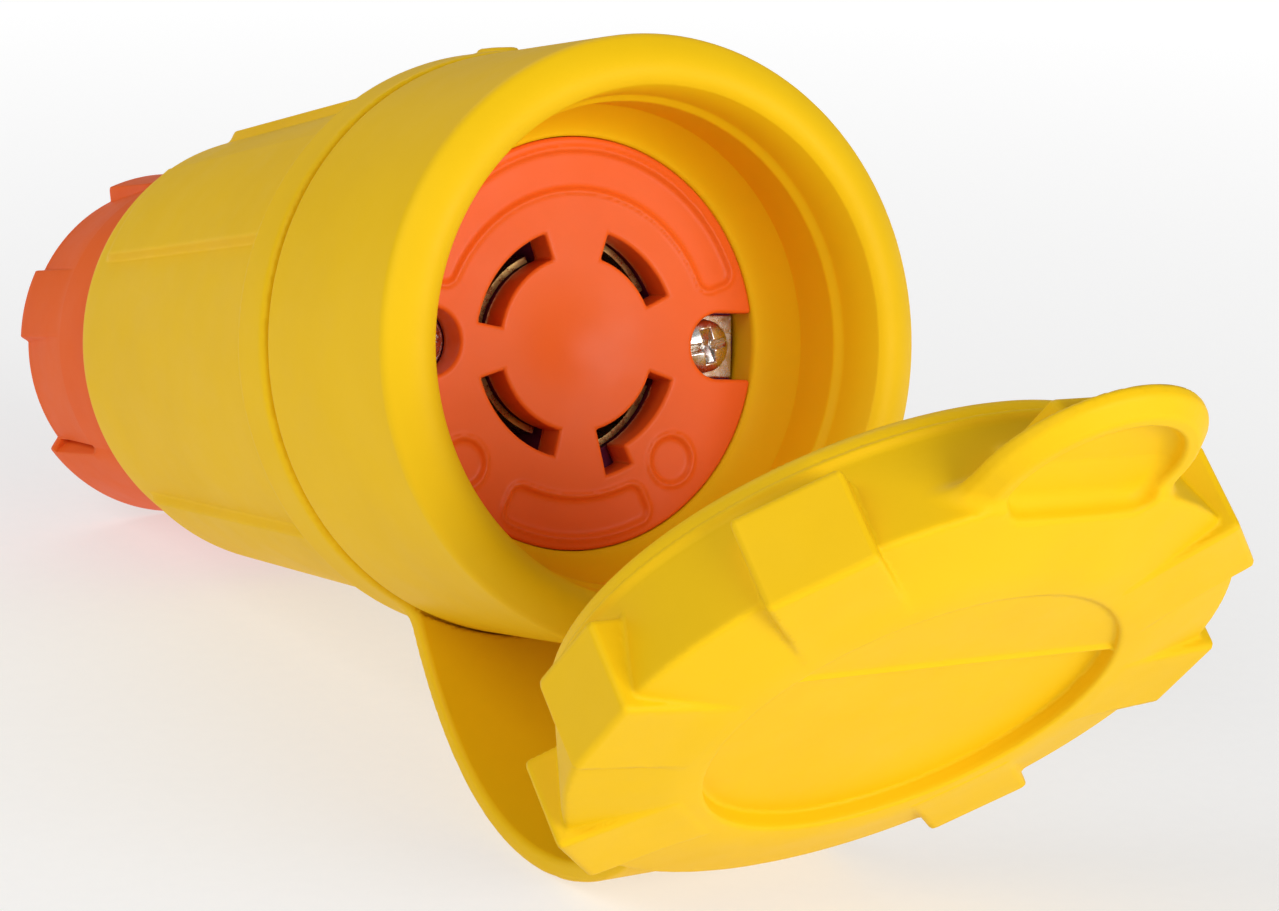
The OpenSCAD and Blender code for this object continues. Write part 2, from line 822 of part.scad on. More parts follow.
body_shell();
strap_ring();
closure_cap();
contact_face();
contact_block();
contact_x();
contact_y();
contact_z();
contact_ground();
terminal_clamps();
terminal_screws();
ground_screw();
assembly_screws();
threaded_inserts();
retainer_ring();
block_seal();
gland_sleeve();
gland_gasket();
cord_seal();
slip_washer();
cord_grip_nut();
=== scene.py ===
"""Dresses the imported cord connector: moulded skins, materials, floor, light and camera."""
import json
import math

import bpy
import numpy as np
from mathutils import Matrix, Vector


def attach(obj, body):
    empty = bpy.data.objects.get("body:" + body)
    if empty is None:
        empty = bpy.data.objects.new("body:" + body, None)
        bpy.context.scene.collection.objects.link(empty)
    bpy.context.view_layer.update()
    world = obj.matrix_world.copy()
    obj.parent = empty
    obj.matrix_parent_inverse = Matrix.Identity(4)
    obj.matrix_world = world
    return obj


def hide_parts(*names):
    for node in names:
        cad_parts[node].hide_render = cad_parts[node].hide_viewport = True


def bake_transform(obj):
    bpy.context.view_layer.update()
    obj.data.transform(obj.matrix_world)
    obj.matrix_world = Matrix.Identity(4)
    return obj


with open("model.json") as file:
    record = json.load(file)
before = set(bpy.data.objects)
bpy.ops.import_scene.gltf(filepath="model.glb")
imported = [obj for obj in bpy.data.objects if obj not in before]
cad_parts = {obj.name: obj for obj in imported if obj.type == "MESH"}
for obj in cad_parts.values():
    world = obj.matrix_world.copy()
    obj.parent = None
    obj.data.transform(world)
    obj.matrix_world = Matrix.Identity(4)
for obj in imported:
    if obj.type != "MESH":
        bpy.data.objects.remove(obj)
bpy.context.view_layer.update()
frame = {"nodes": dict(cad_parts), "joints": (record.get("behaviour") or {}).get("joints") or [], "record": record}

MM = 0.001

# The body's own axes: x across, y up, z out of the mouth, from the contact face's centre
mounts = {m["name"]: m for m in frame["record"]["mounts"]}
joints = {j["name"]: j for j in frame["joints"]}
SEAL_MIDDLE = 9.2
AXIS = Vector(mounts["mating_mouth"]["axis"]).normalized()
ACROSS = Vector((1, 0, 0))
RISE = AXIS.cross(ACROSS)
FACE_CENTRE = Vector(mounts["mating_mouth"]["pos_m"]) - SEAL_MIDDLE * MM * AXIS
BODY = Matrix.Translation(FACE_CENTRE) @ Matrix((ACROSS, RISE, AXIS)).transposed().to_4x4()
BODY = BODY @ Matrix.Scale(MM, 4)
BODY_TURN = -5.6
FACE = BODY @ Matrix.Rotation(math.radians(BODY_TURN), 4, "Z")

# The cap's own axes: z from its mouth to its face, y away from the strap
CAP_SEAT = 22.0
CAP_TURN = -4.4
CAP_OPEN = math.radians(joints["cap_hinge"]["range_deg"][1])
BEND = Matrix.Translation(Vector(joints["cap_hinge"]["pos_m"]))
CAP = BEND @ Matrix.Rotation(CAP_OPEN, 4, "X") @ BEND.inverted()
CAP = CAP @ BODY @ Matrix.Translation((0, 0, CAP_SEAT))
CAP = CAP @ Matrix.Rotation(math.radians(CAP_TURN), 4, "Z")

# A distance, in mm, that no piece reaches
FAR = 99.0


def smooth(t):
    t = min(1.0, max(0.0, t))
    return t * t * (3 - 2 * t)


def ramp(value, start, end):
    return smooth((value - start) / (end - start))


def mix(a, b, t):
    return a + (b - a) * t


def new_piece(name, points, faces, place):
    mesh = bpy.data.meshes.new(name)
    mesh.from_pydata([place @ Vector(p) for p in points], [], faces)
    mesh.validate()
    mesh.shade_smooth()
    piece = bpy.data.objects.new(name, mesh)
    bpy.context.scene.collection.objects.link(piece)
    return piece


# Outlines and turned forms
def arc(centre, radius, start, end, steps):
    """Points of an arc as (out, along, 0)."""
    turns = [math.radians(mix(start, end, i / steps)) for i in range(steps + 1)]
    return [(centre[0] + radius * math.cos(a), centre[1] + radius * math.sin(a), 0.0) for a in turns]


def bend(a, pull, b, steps):
    """Points of a curve from a to b, drawn towards pull, as (out, along, 0)."""
    shares = [i / steps for i in range(steps + 1)]
    return [tuple((1 - t) ** 2 * a[n] + 2 * t * (1 - t) * pull[n] + t * t * b[n] for n in (0, 1)) + (0.0,)
            for t in shares]


def rounded(corners, steps=5, guard=0.35, most=0.48):
    """Closed outline through (out, along, radius) corners, each rounded, with points that hold the flats.

    A corner takes at most a share of its shorter side.
    """
    out = []
    for i, (p, q, radius) in enumerate(corners):
        if not radius:
            out.append((p, q))
            continue
        here = np.array((p, q))
        back = np.array(corners[i - 1][:2]) - here
        on = np.array(corners[(i + 1) % len(corners)][:2]) - here
        reach = min(np.linalg.norm(back), np.linalg.norm(on)) * most
        back = back / np.linalg.norm(back)
        on = on / np.linalg.norm(on)
        cut = min(radius, reach)
        if cut + guard < reach:
            out.append(tuple(here + back * (cut + guard)))
        for k in range(steps + 1):
            t = k / steps
            out.append(tuple(here + back * cut * (1 - t) ** 2 + on * cut * t ** 2))
        if cut + guard < reach:
            out.append(tuple(here + on * (cut + guard)))
    return out


def turned(profile, angles, shape):
    """Points of a closed profile carried round the axis; shape(r, z, degrees) gives the r and z there."""
    points = []
    for r, z in profile:
        for degrees in angles:
            rr, zz = shape(r, z, degrees)
            a = math.radians(degrees)
            points.append((rr * math.cos(a), rr * math.sin(a), zz))
    rows, columns = len(profile), len(angles)
    faces = []
    for i in range(rows):
        a, b = i * columns, ((i + 1) % rows) * columns
        for c in range(columns):
            d = (c + 1) % columns
            faces.append((a + c, b + c, b + d, a + d))
    return points, faces


def angle_list(step, edges, spread, clear=0.4):
    """Degrees round the axis: closer ones about each edge, and even steps that stay clear of those."""
    near = [(e + s) % 360 for e in edges for s in spread]
    even = [i * step for i in range(round(360 / step))]
    keep = [a for a in even if all(abs((a - n + 180) % 360 - 180) > step * clear for n in near)]
    return sorted(keep + near)


def spaced(angles, least=0.05):
    """The angles in order, without any that lie closer together than the least."""
    kept = []
    for a in sorted(angles):
        if not kept or a - kept[-1] > least:
            kept.append(a)
    return kept


def band(degrees, start, sweep, soft):
    """1 within a sector, 0 outside it, with soft edges of so many degrees."""
    off = (degrees - start - sweep / 2 + 180) % 360 - 180
    return 1 - ramp(abs(off), sweep / 2 - soft, sweep / 2 + soft)


# Solids given by their distance, in mm, negative inside
def soft_min(a, b, k):
    """Two solids joined with a fillet of about k."""
    h = np.clip(0.5 + 0.5 * (b - a) / k, 0, 1)
    return b + (a - b) * h - k * h * (1 - h)


def soft_max(a, b, k):
    """What two solids share, with edges rounded by about k."""
    return -soft_min(-a, -b, k)


def round_max(radius, *sides):
    """What several sides enclose, with edges of the given radius."""
    over = sum(np.maximum(s + radius, 0) ** 2 for s in sides)
    return np.sqrt(over) + np.minimum(np.maximum.reduce(sides), -radius)


def outline_distance(outline, p, q):
    """Distance to a closed outline in its plane."""
    best = np.full(p.shape, np.inf)
    inside = np.zeros(p.shape, bool)
    for (ap, aq), (bp, bq) in zip(outline, outline[1:] + outline[:1]):
        ep, eq = bp - ap, bq - aq
        length = ep * ep + eq * eq
        if length < 1e-12:
            continue
        t = np.clip(((p - ap) * ep + (q - aq) * eq) / length, 0, 1)
        best = np.minimum(best, (p - ap - t * ep) ** 2 + (q - aq - t * eq) ** 2)
        if eq:
            inside ^= ((aq > q) != (bq > q)) & (p < ap + (q - aq) * ep / eq)
    return np.where(inside, -1, 1) * np.sqrt(best)


def path_distance(path, p, q):
    """Distance to an open path in its plane."""
    best = np.full(p.shape, np.inf)
    for (ap, aq), (bp, bq) in zip(path, path[1:]):
        ep, eq = bp - ap, bq - aq
        t = np.clip(((p - ap) * ep + (q - aq) * eq) / (ep * ep + eq * eq), 0, 1)
        best = np.minimum(best, (p - ap - t * ep) ** 2 + (q - aq - t * eq) ** 2)
    return np.sqrt(best)


def slope(solid, at, step=0.02):
    """Direction in which a solid's distance grows fastest."""
    rise = [solid(*(at + step * e).T) - solid(*(at - step * e).T) for e in np.eye(3)]
    return np.stack(rise, -1) / (2 * step)


def grid_axis(*stretches):
    """Grid lines from (start, end, cell) stretches laid end to end."""
    out = []
    for start, end, cell in stretches:
        count = max(1, round((end - start) / cell))
        out += [mix(start, end, i / count) for i in range(count)]
    return np.array(out + [stretches[-1][1]])


def sampled(solid, axes, block=4, slack=1.4, margin=1.5):
    """A solid's distance on a grid: worked out at every point near its surface, and by blocks elsewhere.

    Near is within a block's half diagonal times slack, plus a margin in mm.
    """
    grid = np.stack(np.meshgrid(*axes, indexing="ij"), -1)
    parts = [np.arange(len(a)) // block for a in axes]
    lows = [np.array([a[p == i].min() for i in range(p[-1] + 1)]) for a, p in zip(axes, parts)]
    highs = [np.array([a[p == i].max() for i in range(p[-1] + 1)]) for a, p in zip(axes, parts)]
    middle = np.meshgrid(*[(high + low) / 2 for high, low in zip(highs, lows)], indexing="ij")
    half = np.meshgrid(*[(high - low) / 2 for high, low in zip(highs, lows)], indexing="ij")
    reach = np.sqrt(sum(h ** 2 for h in half))
    rough = solid(*middle)
    d = rough[np.ix_(*parts)]
    near = (np.abs(rough) < slack * reach + margin)[np.ix_(*parts)]
    d[near] = solid(*grid[near].T)
    return grid, d


def skin(name, solid, axes, place, settle=3, flattest=0.2):
    """The surface of a solid as a mesh of quads: one point to each grid cell that the surface crosses.

    The points then settle on the surface in a few steps, along the distance's slope.
    """
    grid, d = sampled(solid, axes)
    size = d.shape
    cells = tuple(n - 1 for n in size)

    def corner(field, i, j, k):
        return field[i:cells[0] + i, j:cells[1] + j, k:cells[2] + k]

    inside = d < 0
    corners = [(i, j, k) for i in (0, 1) for j in (0, 1) for k in (0, 1)]
    count = sum(corner(inside, *c).astype(np.int8) for c in corners)
    crossed = (count > 0) & (count < 8)
    number = np.full(cells, -1)
    number[crossed] = np.arange(crossed.sum())
    total = np.zeros((crossed.sum(), 3))
    hits = np.zeros(crossed.sum())
    for a in corners:
        for axis in range(3):
            if a[axis]:
                continue
            b = tuple(1 if n == axis else a[n] for n in range(3))
            da, db = corner(d, *a)[crossed], corner(d, *b)[crossed]
            change = (da < 0) != (db < 0)
            t = np.where(change, da / np.where(change, da - db, 1), 0)
            pa, pb = corner(grid, *a)[crossed], corner(grid, *b)[crossed]
            total += np.where(change, 1, 0)[:, None] * (pa + (pb - pa) * t[:, None])
            hits += change
    points = total / hits[:, None]
    reach = min(float(np.diff(a).min()) for a in axes)
    for _ in range(settle):
        g = slope(solid, points)
        step = solid(*points.T) / np.maximum((g ** 2).sum(-1), flattest)
        points = points - np.clip(step, -reach, reach)[:, None] * g
    faces = []
    for axis in range(3):
        u, v = (axis + 1) % 3, (axis + 2) % 3
        low = np.take(inside, range(size[axis] - 1), axis)
        high = np.take(inside, range(1, size[axis]), axis)
        at = np.argwhere(low != high)
        at = at[(at[:, u] > 0) & (at[:, v] > 0) & (at[:, u] < cells[u]) & (at[:, v] < cells[v])]
        ring = []
        for du, dv in ((1, 1), (0, 1), (0, 0), (1, 0)):
            near = at.copy()
            near[:, u] -= du
            near[:, v] -= dv
            ring.append(number[tuple(near.T)])
        quads = np.stack(ring, -1)
        outward = low[tuple(at.T)]
        quads[~outward] = quads[~outward][:, ::-1]
        faces += quads.tolist()
    normals = slope(solid, points)
    normals /= np.maximum(np.linalg.norm(normals, axis=-1), 1e-6)[:, None]
    piece = new_piece(name, points.tolist(), faces, place)
    turn = np.array(place.to_3x3().normalized())
    piece.data.normals_split_custom_set_from_vertices((normals @ turn.T).tolist())
    return piece


# Materials
# Between these values lies most of what a noise gives
NOISE_LOW = 0.3
NOISE_HIGH = 0.7


def shader(name):
    mat = bpy.data.materials.new(name)
    mat.use_nodes = True
    nodes, links = mat.node_tree.nodes, mat.node_tree.links
    bsdf = nodes["Principled BSDF"]
    place = nodes.new("ShaderNodeTexCoord").outputs["Object"]
    return mat, nodes, links, bsdf, place


def noise(nodes, links, place, scale, detail=3.0, rough=0.55):
    n = nodes.new("ShaderNodeTexNoise")
    n.inputs["Scale"].default_value = scale
    n.inputs["Detail"].default_value = detail
    n.inputs["Roughness"].default_value = rough
    links.new(place, n.inputs["Vector"])
    return n.outputs["Fac"]


def colour_ramp(nodes, links, fac, stops):
    r = nodes.new("ShaderNodeValToRGB")
    for i, (pos, colour) in enumerate(stops):
        e = r.color_ramp.elements[i] if i < 2 else r.color_ramp.elements.new(pos)
        e.position = pos
        e.color = (*colour, 1)
    links.new(fac, r.inputs["Fac"])
    return r.outputs["Color"]


def value_range(nodes, links, fac, low, high):
    m = nodes.new("ShaderNodeMapRange")
    m.inputs["From Min"].default_value = NOISE_LOW
    m.inputs["From Max"].default_value = NOISE_HIGH
    m.inputs["To Min"].default_value = low
    m.inputs["To Max"].default_value = high
    links.new(fac, m.inputs["Value"])
    return m.outputs["Result"]


def bump(nodes, links, bsdf, height, strength, distance):
    b = nodes.new("ShaderNodeBump")
    b.inputs["Strength"].default_value = strength
    b.inputs["Distance"].default_value = distance
    links.new(height, b.inputs["Height"])
    links.new(b.outputs["Normal"], bsdf.inputs["Normal"])


def moulded(name, dark, base, light, rough, grain, gloss):
    """A moulded rubber or plastic: faint clouds in the colour, uneven gloss and a skin grain, in metres."""
    mat, nodes, links, bsdf, place = shader(name)
    clouds = noise(nodes, links, place, scale=38, detail=4)
    stops = [(0.30, dark), (0.52, base), (0.75, light)]
    links.new(colour_ramp(nodes, links, clouds, stops), bsdf.inputs["Base Color"])
    wiped = noise(nodes, links, place, scale=110, detail=5, rough=0.65)
    links.new(value_range(nodes, links, wiped, rough - 0.06, rough + 0.06), bsdf.inputs["Roughness"])
    grit = noise(nodes, links, place, scale=2600, detail=2)
    bump(nodes, links, bsdf, grit, strength=0.12, distance=grain)
    bsdf.inputs["Specular IOR Level"].default_value = gloss
    return mat


def metal(name, dark, light, rough):
    """A plated or plain metal: a faint change of tint and fine wear in its gloss."""
    mat, nodes, links, bsdf, place = shader(name)
    tint = noise(nodes, links, place, scale=220, detail=4)
    stops = [(NOISE_LOW, dark), (NOISE_HIGH, light)]
    links.new(colour_ramp(nodes, links, tint, stops), bsdf.inputs["Base Color"])
    worn = noise(nodes, links, place, scale=900, detail=4, rough=0.7)
    links.new(value_range(nodes, links, worn, rough - 0.08, rough + 0.1), bsdf.inputs["Roughness"])
    bump(nodes, links, bsdf, worn, strength=0.06, distance=0.00004)
    bsdf.inputs["Metallic"].default_value = 1.0
    return mat


YELLOW = moulded("yellow_rubber", (0.845, 0.512, 0.004), (0.875, 0.535, 0.004), (0.895, 0.552, 0.005),
                 rough=0.54, grain=0.00006, gloss=0.13)
ORANGE_SHADES = ((0.820, 0.116, 0.013), (0.860, 0.130, 0.015), (0.885, 0.142, 0.018))
ORANGE = moulded("orange_nylon", *ORANGE_SHADES, rough=0.50, grain=0.00004, gloss=0.09)
ORANGE_FACE = moulded("orange_face", *ORANGE_SHADES, rough=0.36, grain=0.00004, gloss=0.17)
NYLON = moulded("natural_nylon", (0.56, 0.45, 0.24), (0.64, 0.52, 0.29), (0.70, 0.58, 0.34),
                rough=0.45, grain=0.00005, gloss=0.4)
# The dark nylon's purple tint is painted shade: it copies the colour that deep shade takes inside the slots, and
# it is made lighter so that the inside of the slots is not black.
PAINTED_SHADE_NYLON = moulded("dark_nylon", (0.150, 0.012, 0.075), (0.180, 0.016, 0.090), (0.200, 0.020, 0.100),
                     rough=0.45, grain=0.00005, gloss=0.3)
BLACK = moulded("black_rubber", (0.010, 0.010, 0.011), (0.016, 0.016, 0.017), (0.026, 0.026, 0.027),
                rough=0.6, grain=0.00008, gloss=0.4)
GREEN = metal("green_screw", (0.02, 0.20, 0.07), (0.04, 0.28, 0.10), rough=0.35)
BRASS = metal("brass", (0.62, 0.40, 0.13), (0.78, 0.55, 0.22), rough=0.28)
NICKEL = metal("nickel", (0.58, 0.57, 0.54), (0.80, 0.79, 0.76), rough=0.24)

SLOT_LOOKS = {
    "yellow_rubber": YELLOW, "orange_nylon": ORANGE, "natural_nylon": NYLON, "dark_nylon": PAINTED_SHADE_NYLON,
    "black_rubber": BLACK, "green_screw": GREEN, "brass": BRASS, "nickel": NICKEL,
}
for part in frame["record"]["subparts"]:
    mesh = frame["nodes"][part["node"]].data
    mesh.materials.clear()
    mesh.materials.append(SLOT_LOOKS[part["material_slot"]])


def dress(piece, node, body, look, finish=None):
    """Puts a piece in the place of a node, in the node's material or a finish of it."""
    piece.data.materials.append(finish or SLOT_LOOKS[look])
    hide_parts(node)
    if body:
        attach(piece, body)


# Body: rim, collar, groove for the strap's ring, bead and a tapered barrel with raised grip panels
LIP = (31.3, 20.66)
RIM_PULL = (33.5, 23.0)
CREASE = (37.7, 19.1)
COLLAR_FRONT = (37.69, 18.3)
COLLAR_R = 37.3
COLLAR_BACK = -13.0
GROOVE_R = 33.7
BEAD_R = 35.24
BEAD_FRONT = -21.2
BEAD_BACK = -22.8
BARREL_FRONT = -24.4
BARREL_BACK = -87.5
BARREL_R = 29.6
BARREL_GROWTH = 4.6
BARREL_RUN = 66.3
SHOULDER_R = 4.0
INLET_R = 18.1
CHAMBER_R = 24.5
CHAMBER_BACK = -86.5
CHAMBER_FRONT = -39.9
LEDGE_R = 23.0
INSERT_R = 26.1
INSERT_BACK = -34.3
FLANK_STEP = 0.365
MOUTH_R = 29.75
MOUTH_START = 5.4
MOUTH_END = 13.0
PANEL_START = -21.3
PANEL_LIFT = 1.3
# Start and sweep in degrees, where its rear end begins to fall, and how far that fall runs
PANELS = [(67.4, 34, -83.0, 3.0), (123.4, 29, -80.6, 5.0), (16.4, 29, -80.6, 5.0), (220.4, 88, -80.6, 5.0)]
PANEL_EDGE = 0.75


def barrel_radius(z):
    return BARREL_R + BARREL_GROWTH * (z - BARREL_BACK) / BARREL_RUN


def body_outline():
    rim = bend(LIP, RIM_PULL, CREASE, 26)[:25]
    crease = bend(rim[-1], CREASE, COLLAR_FRONT, 6)[1:]
    groove = [(COLLAR_R, COLLAR_BACK, 1.3), (GROOVE_R, COLLAR_BACK, 0.4), (GROOVE_R, BEAD_FRONT, 0.4),
              (BEAD_R, BEAD_FRONT, 0.6), (BEAD_R, BEAD_BACK, 0.6),
              (barrel_radius(BARREL_FRONT), BARREL_FRONT, 0.6)]
    rows = [-26 - 2.2 * i for i in range(24)] + [-78 - 0.6 * i for i in range(16)]
    barrel = [(barrel_radius(z), z, 0.0) for z in rows]
    shoulder = arc((BARREL_R - SHOULDER_R, BARREL_BACK), SHOULDER_R, 0, -90, 8)
    hollow = [(INLET_R, BARREL_BACK - SHOULDER_R, 0.4), (INLET_R, CHAMBER_BACK, 0.3),
              (CHAMBER_R, CHAMBER_BACK, 0.3), (CHAMBER_R, CHAMBER_FRONT, 0.2), (LEDGE_R, CHAMBER_FRONT, 0.2),
              (LEDGE_R, INSERT_BACK, 0.2), (INSERT_R, INSERT_BACK, 0.2)]
    wall = [(INSERT_R, z, 0.0) for z in (-20, -8, -1)]
    flank = [(INSERT_R + FLANK_STEP * i, MOUTH_START * (0.1 * i) ** 1.6, 0.0) for i in range(10)]
    seat = [(MOUTH_R, MOUTH_START, 0.12), (MOUTH_R, 6.5, 0.0), (MOUTH_R, SEAL_MIDDLE, 0.0),
            (MOUTH_R, 12.0, 0.0), (MOUTH_R, MOUTH_END, 0.3), (30.5, 14.1, 0.4)]
    return rounded(rim + crease + groove + barrel + shoulder + hollow + wall + flank + seat)


def body_shape(r, z, degrees):
    if r < 27 or z > PANEL_START:
        return r, z
    lift = 0.0
    for start, sweep, stop, run in PANELS:
        across = band(degrees, start, sweep, PANEL_EDGE)
        lift = max(lift, across * ramp(z, stop - run, stop) * ramp(z, PANEL_START, -21.9))
    return r + lift * max(0.0, barrel_radius(z) + PANEL_LIFT - r), z


panel_edges = [e for start, sweep, stop, run in PANELS for e in (start, start + sweep)]
panel_spread = (-1.1, -PANEL_EDGE, -0.5, -0.2, 0.2, 0.5, PANEL_EDGE, 1.1)
body_angles = angle_list(2.5, panel_edges, panel_spread)
dress(new_piece("body_skin", *turned(body_outline(), body_angles, body_shape), BODY), "body_shell", "body",
      "yellow_rubber")

# Cord nut: narrow and wide ribs, a slot at the wide ribs' start and a flared mouth for the cord
NUT_FRONT = -91.9
NUT_BACK = -123.5
NUT_R = 23.6
NUT_RIBS = [(148.8, 25.2, 1.2), (212.8, 77.2, 2.0), (328.8, 25.2, 1.2), (32.8, 77.2, 2.0)]
NUT_SLOTS = [(212.4, 2.3), (32.4, 2.3)]
SLOT_ENDS = (-121.5, -108.0)
SLOT_FLOOR = 19.4
# The surface between the ribs rises by so much from the first place to the second
NUT_FLARE = 1.3
FLARE_ENDS = (-122.0, -108.0)
# A rib's edges, in degrees, are crisp behind the first place and soft before the second
RIB_EDGE = (1.1, 4.5)
RIB_EDGE_ENDS = (-109.5, -106.0)
# The ribs fade out between these places at the front, and between these radii on the rear face
RIB_FRONT = (-92.45, -93.25)
RIB_FOOT = (21.0, 23.2)
NUT_THREAD_R = 18.2
NUT_FLOOR = -115.1
CORD_R = 12.2
CORD_MOUTH = (14.0, -121.7)


def nut_outline():
    rows = [-92.6, -92.9, -93.2, -93.6, -95, -98, -101, -104, -107, -107.8, -107.95, -108.1, -108.3, -109,
            -110, -111, -112, -113.5, -115, -118, -120, -121.2, -121.4, -121.55, -121.7, -122.2]
    side = [(NUT_R, z, 0.0) for z in rows]
    face = [(r, NUT_BACK, 0.0) for r in (22.4, 21.6, 20.0, 17.0)]
    mouth = [(CORD_MOUTH[0], NUT_BACK, 0.5), (CORD_R, CORD_MOUTH[1], 0.6), (CORD_R, NUT_FLOOR, 0.3),
             (NUT_THREAD_R, NUT_FLOOR, 0.3)]
    front = [(NUT_THREAD_R, NUT_FRONT, 0.3), (NUT_R, NUT_FRONT, 0.4)]
    return rounded(side + [(NUT_R, NUT_BACK, 0.7)] + face + mouth + front)


def nut_shape(r, z, degrees):
    if r < 20 or (r < 22.9 and z > -123):
        return r, z
    flare = NUT_FLARE * min(1.0, max(0.0, (z - FLARE_ENDS[0]) / (FLARE_ENDS[1] - FLARE_ENDS[0])))
    soft = mix(*RIB_EDGE, ramp(z, *RIB_EDGE_ENDS))
    lift = max(h * band(degrees, start, sweep, soft) for start, sweep, h in NUT_RIBS)
    out = r + max(lift, flare) * ramp(z, *RIB_FRONT) * ramp(r, *RIB_FOOT)
    cut = max(band(degrees, start, sweep, 0.12) for start, sweep in NUT_SLOTS)
    cut *= ramp(z, SLOT_ENDS[0] - 0.1, SLOT_ENDS[0] + 0.1) * ramp(z, SLOT_ENDS[1] + 0.1, SLOT_ENDS[1] - 0.1)
    return mix(out, min(out, SLOT_FLOOR), cut), z


rib_edges = [e for start, sweep, h in NUT_RIBS for e in (start, start + sweep)]
slot_edges = [e for start, sweep in NUT_SLOTS for e in (start, start + sweep)]
nut_angles = angle_list(2, rib_edges, (-1.2, -0.9, -0.6, -0.3, 0.0, 0.3, 0.6, 0.9, 1.2))
nut_angles = spaced(nut_angles + [e + s for e in slot_edges for s in (-0.25, -0.1, 0.1, 0.25)])
dress(new_piece("nut_skin", *turned(nut_outline(), nut_angles, nut_shape), BODY), "cord_grip_nut", "nut",
      "orange_nylon")

# Strap: the ring in the groove with its nub, and a flat strap that hangs from it to the cap
STRAP_T = 2.6
STRAP_HALF = 19.0
RING_IN = 33.8
RING_OUT = 37.6
RING_FRONT = -13.2
RING_BACK = -21.0
RING = [(RING_IN, RING_BACK, 0.3), (RING_OUT, RING_BACK, 1.2), (RING_OUT, RING_FRONT, 1.2),
        (RING_IN, RING_FRONT, 0.3)]
NUB_ANGLE = math.radians(88.5)
NUB_Z = -17.1
NUB_R = 2.6
NUB_TOP = 38.1
NUB_FOOT = 34.5
STRAP_ROOT = np.array((-15.9, -31.7))
STRAP_ROOT_TURN = math.radians(-73)
STRAP_ROOT_RUN = 41.5 * np.array((math.cos(STRAP_ROOT_TURN), math.sin(STRAP_ROOT_TURN)))
STRAP_END_RUN = np.array((math.sin(CAP_OPEN), math.cos(CAP_OPEN)))
STRAP_END = np.array((34.74, -59.62))
STRAP_END_PULL = 7.3
STRAP_FOOT = 34.2
STRAP_CLEAR = 37.5
STRAP_TAIL = 1.0
STRAP_STEPS = 48
ring_outline = rounded(RING)


def strap_path():
    """Middle of the strap's thickness, as (along the body's axis, height)."""
    pulls = [STRAP_ROOT, STRAP_ROOT + STRAP_ROOT_RUN, STRAP_END - STRAP_END_PULL * STRAP_END_RUN, STRAP_END]
    path = []
    for i in range(STRAP_STEPS + 1):
        t = i / STRAP_STEPS
        shares = ((1 - t) ** 3, 3 * t * (1 - t) ** 2, 3 * t * t * (1 - t), t ** 3)
        p = sum(s * q for s, q in zip(shares, pulls))
        shares = ((1 - t) ** 2, 2 * t * (1 - t), t * t)
        run = sum(s * (b - a) for s, a, b in zip(shares, pulls, pulls[1:]))
        run = run / np.linalg.norm(run)
        path.append(p + STRAP_T / 2 * np.array((-run[1], run[0])))
    return path + [path[-1] + STRAP_TAIL * STRAP_END_RUN]


strap_line = strap_path()


def strap_solid(x, y, z):
    r = np.hypot(x, y)
    ring = outline_distance(ring_outline, r, z)
    out = x * math.cos(NUB_ANGLE) + y * math.sin(NUB_ANGLE)
    aside = y * math.cos(NUB_ANGLE) - x * math.sin(NUB_ANGLE)
    nub = round_max(0.4, np.hypot(aside, z - NUB_Z) - NUB_R, out - NUB_TOP, NUB_FOOT - out)
    ring = soft_min(ring, nub, 0.5)
    flat = path_distance(strap_line, z, y) - STRAP_T / 2
    strap = round_max(0.8, flat, np.abs(x) - STRAP_HALF)
    strap = np.maximum(strap, STRAP_FOOT - r)
    whole = soft_min(ring, strap, 1.8)
    collar = soft_max(r - STRAP_CLEAR, RING_FRONT - z, 0.4)
    return np.maximum(soft_max(whole, -collar, 0.3), RING_IN - r)


strap_axes = [grid_axis((-38.6, 38.6, 0.65)),
              grid_axis((-76.0, 39.0, 0.65)),
              grid_axis((-23.0, -12.4, 0.5), (-12.4, 40.0, 0.7))]
strap = skin("strap_skin", strap_solid, strap_axes, BODY)
dress(strap, "strap_ring", None, "yellow_rubber")
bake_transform(strap)

# Closure cap: spigot, flared wall, six grip lugs, a pull tab with a thumb hollow, and a recess in the face
LUG_ANGLES = [math.radians(a) for a in (0, 45, 135, 180, 225, 315)]
LUG_HALF = 6.5
LUG_REACH = 41.8
LUG_START = 5.8
# A lug begins at the first radius, and above this height at the inner one
LUG_ROOT_R = 34.3
LUG_ROOT_Z = 12.8
LUG_ROOT_INNER = 27.5
FACET = (28.5, 18.25)
FACET_DIP = (0.0787, 0.9969)
TAB_NOSE = 41.5
TAB_HALF = 14.0
TAB_TOP = 14.7
TAB_LOW = 11.3
TAB_ROOT = (21.68, 30.96)
TAB_BEVEL = 1.8
TAB_FOOT = 34.3
TAB_RIB_HALF = 6.8
TAB_RIB_LOW = 7.7
TAB_RIB_TOP = 12.5
TAB_RIB_START = 34.6
TAB_RIB_END = (48.3, 8.4)
TAB_RIB_END_DIP = (0.952, 0.308)
HOLLOW_HALF = 10.4
HOLLOW_CORNER = 3.0
HOLLOW_SLOPE = 0.16
HOLLOW_START = 37.3
HOLLOW_FLOOR = 12.7
RECESS_R = 25.0
RECESS_FLOOR = 16.2
LEDGE_Y = 9.5
LEDGE_STEP = 1.3
LEDGE_RISE = 0.05
LEDGE_RUN = 0.4
LEDGE_BEAD = 0.4
LEDGE_BEAD_Y = 0.55
LEDGE_BEAD_HALF = 0.5
SPIGOT_IN = 28.1
SPIGOT_OUT = 30.0
SPIGOT_TIP = -2.8
SKIRT_IN = 32.9
UNDERSIDE = 11.8
SKIRT_LIP_R = 2.2


